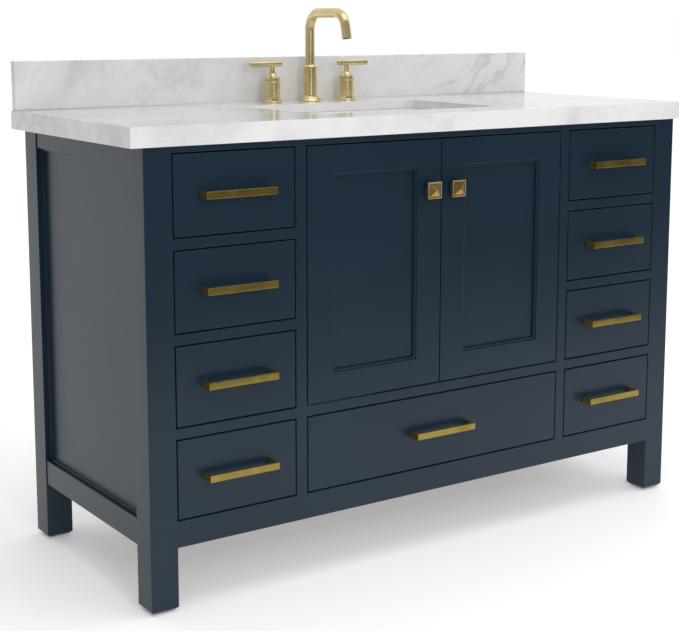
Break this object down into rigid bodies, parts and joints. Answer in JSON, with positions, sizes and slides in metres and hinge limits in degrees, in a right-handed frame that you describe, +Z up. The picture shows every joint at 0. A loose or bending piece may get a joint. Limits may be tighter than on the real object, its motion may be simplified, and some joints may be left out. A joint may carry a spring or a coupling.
{
  "type": "bathroom vanity cabinet",
  "caption": "Freestanding painted wood vanity with side drawers, centre doors over a wide drawer, marble top with backsplash, undermount basin and widespread brass faucet.",
  "frame": {"origin": "on the floor, under the middle of the bounding box of the closed cabinet with its pulls", "axes": "+Z up, the fronts face -Y, +X to the right of a person who stands in front"},
  "size_m": [1.397, 0.5828, 1.1264],
  "materials": {
    "painted_wood": "navy satin paint over wood",
    "birch_plywood": "clear satin",
    "drawer_wood": "clear satin",
    "zinc_steel": "zinc plated",
    "nylon": "matte",
    "marble": "honed white marble with soft grey veins",
    "basin_ceramic": "gloss glaze",
    "faucet_brass": "satin brushed",
    "pull_brass": "antique satin",
    "knob_bronze": "antique satin"
  },
  "bodies": {
    "cabinet": {"front_legs": "painted_wood", "rear_legs": "painted_wood", "leg_glides": "nylon", "front_rails": "painted_wood", "frame_dividers": "painted_wood", "side_rails": "painted_wood", "left_side_panel": "painted_wood", "right_side_panel": "painted_wood", "rear_rails": "birch_plywood", "back_boards": "birch_plywood", "bottom_panel": "birch_plywood", "partitions": "birch_plywood", "compartment_floor": "birch_plywood", "top_battens": "birch_plywood", "slide_tracks": "zinc_steel", "hinge_plates": "zinc_steel", "countertop": "marble", "backsplash": "marble", "sink_basin": "basin_ceramic", "drain_body": "faucet_brass", "faucet_bases": "faucet_brass"},
    "bottom_drawer": {"bottom_drawer_front": "painted_wood", "bottom_drawer_box": "drawer_wood", "bottom_drawer_pull": "pull_brass"},
    "left_drawer_1": {"left_drawer_1_front": "painted_wood", "left_drawer_1_box": "drawer_wood", "left_drawer_1_pull": "pull_brass"},
    "left_drawer_2": {"left_drawer_2_front": "painted_wood", "left_drawer_2_box": "drawer_wood", "left_drawer_2_pull": "pull_brass"},
    "left_drawer_3": {"left_drawer_3_front": "painted_wood", "left_drawer_3_box": "drawer_wood", "left_drawer_3_pull": "pull_brass"},
    "left_drawer_4": {"left_drawer_4_front": "painted_wood", "left_drawer_4_box": "drawer_wood", "left_drawer_4_pull": "pull_brass"},
    "right_drawer_1": {"right_drawer_1_front": "painted_wood", "right_drawer_1_box": "drawer_wood", "right_drawer_1_pull": "pull_brass"},
    "right_drawer_2": {"right_drawer_2_front": "painted_wood", "right_drawer_2_box": "drawer_wood", "right_drawer_2_pull": "pull_brass"},
    "right_drawer_3": {"right_drawer_3_front": "painted_wood", "right_drawer_3_box": "drawer_wood", "right_drawer_3_pull": "pull_brass"},
    "right_drawer_4": {"right_drawer_4_front": "painted_wood", "right_drawer_4_box": "drawer_wood", "right_drawer_4_pull": "pull_brass"},
    "left_door": {"left_door_frame": "painted_wood", "left_door_panel": "painted_wood", "left_door_knob": "knob_bronze", "left_door_hinges": "zinc_steel"},
    "right_door": {"right_door_frame": "painted_wood", "right_door_panel": "painted_wood", "right_door_knob": "knob_bronze", "right_door_hinges": "zinc_steel"},
    "left_lever": {"left_lever": "faucet_brass"},
    "right_lever": {"right_lever": "faucet_brass"},
    "spout": {"spout": "faucet_brass"},
    "stopper": {"drain_stopper": "faucet_brass"}
  },
  "joints": [
    {"name": "bottom_drawer_slide", "type": "slide", "parent": "cabinet", "child": "bottom_drawer", "axis": [0, -1, 0], "range_m": [0, 0.4]},
    {"name": "left_drawer_1_slide", "type": "slide", "parent": "cabinet", "child": "left_drawer_1", "axis": [0, -1, 0], "range_m": [0, 0.4]},
    {"name": "left_drawer_2_slide", "type": "slide", "parent": "cabinet", "child": "left_drawer_2", "axis": [0, -1, 0], "range_m": [0, 0.4]},
    {"name": "left_drawer_3_slide", "type": "slide", "parent": "cabinet", "child": "left_drawer_3", "axis": [0, -1, 0], "range_m": [0, 0.4]},
    {"name": "left_drawer_4_slide", "type": "slide", "parent": "cabinet", "child": "left_drawer_4", "axis": [0, -1, 0], "range_m": [0, 0.4]},
    {"name": "right_drawer_1_slide", "type": "slide", "parent": "cabinet", "child": "right_drawer_1", "axis": [0, -1, 0], "range_m": [0, 0.4]},
    {"name": "right_drawer_2_slide", "type": "slide", "parent": "cabinet", "child": "right_drawer_2", "axis": [0, -1, 0], "range_m": [0, 0.4]},
    {"name": "right_drawer_3_slide", "type": "slide", "parent": "cabinet", "child": "right_drawer_3", "axis": [0, -1, 0], "range_m": [0, 0.4]},
    {"name": "right_drawer_4_slide", "type": "slide", "parent": "cabinet", "child": "right_drawer_4", "axis": [0, -1, 0], "range_m": [0, 0.4]},
    {"name": "left_door_hinge", "type": "hinge", "parent": "cabinet", "child": "left_door", "pos_m": [-0.3258, -0.2634, 0.6086], "axis": [0, 0, -1], "range_deg": [0, 90]},
    {"name": "right_door_hinge", "type": "hinge", "parent": "cabinet", "child": "right_door", "pos_m": [0.3258, -0.2634, 0.6086], "axis": [0, 0, 1], "range_deg": [0, 90]},
    {"name": "left_lever_turn", "type": "hinge", "parent": "cabinet", "child": "left_lever", "pos_m": [-0.1016, 0.22835, 0.9654], "axis": [0, 0, 1], "range_deg": [0, 90]},
    {"name": "right_lever_turn", "type": "hinge", "parent": "cabinet", "child": "right_lever", "pos_m": [0.1016, 0.22835, 0.9654], "axis": [0, 0, -1], "range_deg": [0, 90]},
    {"name": "spout_swivel", "type": "hinge", "parent": "cabinet", "child": "spout", "pos_m": [0, 0.22835, 0.9984], "axis": [0, 0, 1], "range_deg": [-60, 60]},
    {"name": "stopper_lift", "type": "slide", "parent": "cabinet", "child": "stopper", "axis": [0, 0, 1], "range_m": [0, 0.008]}
  ]
}
